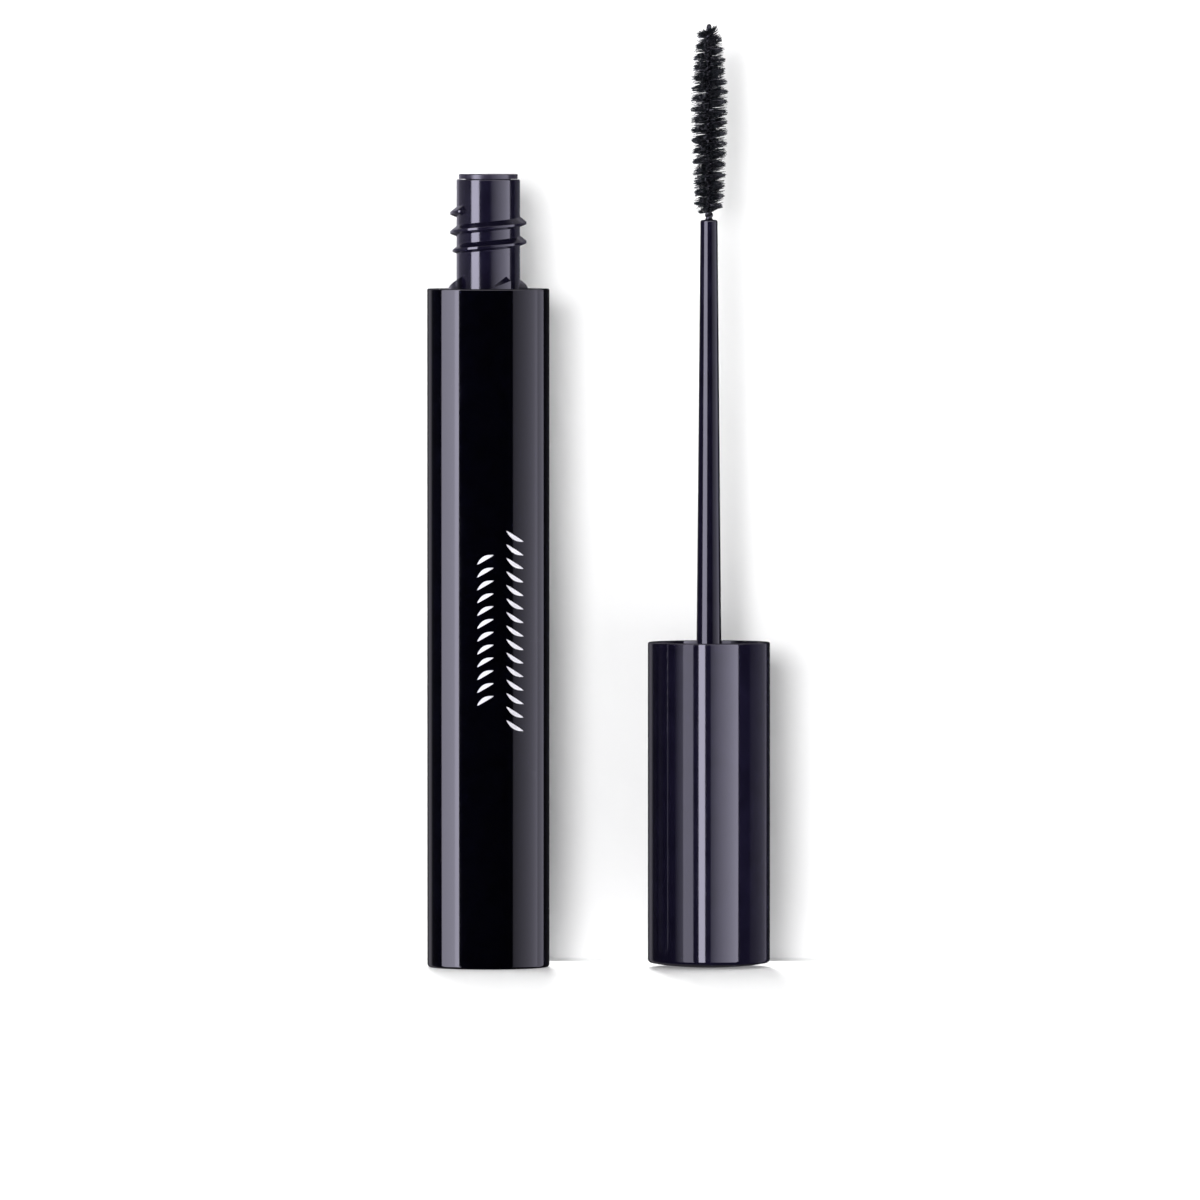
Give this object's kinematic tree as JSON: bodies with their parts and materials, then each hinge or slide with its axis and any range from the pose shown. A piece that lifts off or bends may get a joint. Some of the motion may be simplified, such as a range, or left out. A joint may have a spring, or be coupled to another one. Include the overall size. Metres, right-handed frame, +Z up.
{
  "type": "mascara tube",
  "caption": "Open mascara: a slim round bottle with a threaded neck and wiper, and a wand with a screw cap, tapered stem and twisted-wire brush, standing side by side.",
  "frame": {"origin": "on the standing plane, midway between the bottle's axis and the wand's axis", "axes": "+Z up along both axes; -X towards the bottle, +X towards the wand, -Y towards the viewer"},
  "size_m": [0.045, 0.016, 0.1235],
  "materials": {
    "sleeve_plastic": "glossy near-black with a violet tint",
    "bottle_plastic": "glossy near-black",
    "wiper_plastic": "soft satin black",
    "mascara_paste": "wet black paste",
    "cap_plastic": "glossy near-black with a violet tint",
    "insert_plastic": "satin black",
    "gasket_rubber": "matte dark grey",
    "stem_plastic": "glossy near-black",
    "wire_steel": "drawn steel wire",
    "bristle_nylon": "black nylon fibres"
  },
  "bodies": {
    "bottle": {"outer_sleeve": "sleeve_plastic", "inner_bottle": "bottle_plastic", "wiper": "wiper_plastic", "mascara_fill": "mascara_paste"},
    "gasket": {"seal_gasket": "gasket_rubber"},
    "wand": {"cap_shell": "cap_plastic", "cap_insert": "insert_plastic", "stem": "stem_plastic", "brush_wire": "wire_steel", "bristles": "bristle_nylon"}
  },
  "joints": [
    {"name": "thread_travel", "type": "slide", "parent": "bottle", "child": "gasket", "axis": [0, 0, 1], "range_m": [0, 0.005]},
    {"name": "cap_turn", "type": "hinge", "parent": "gasket", "child": "wand", "pos_m": [0.01445, 0, 0], "axis": [0, 0, 1], "range_deg": [0, 720]}
  ],
  "couplings": [
    {"joint": "cap_turn", "follows": "thread_travel", "rad_per_m": 2513.3}
  ]
}
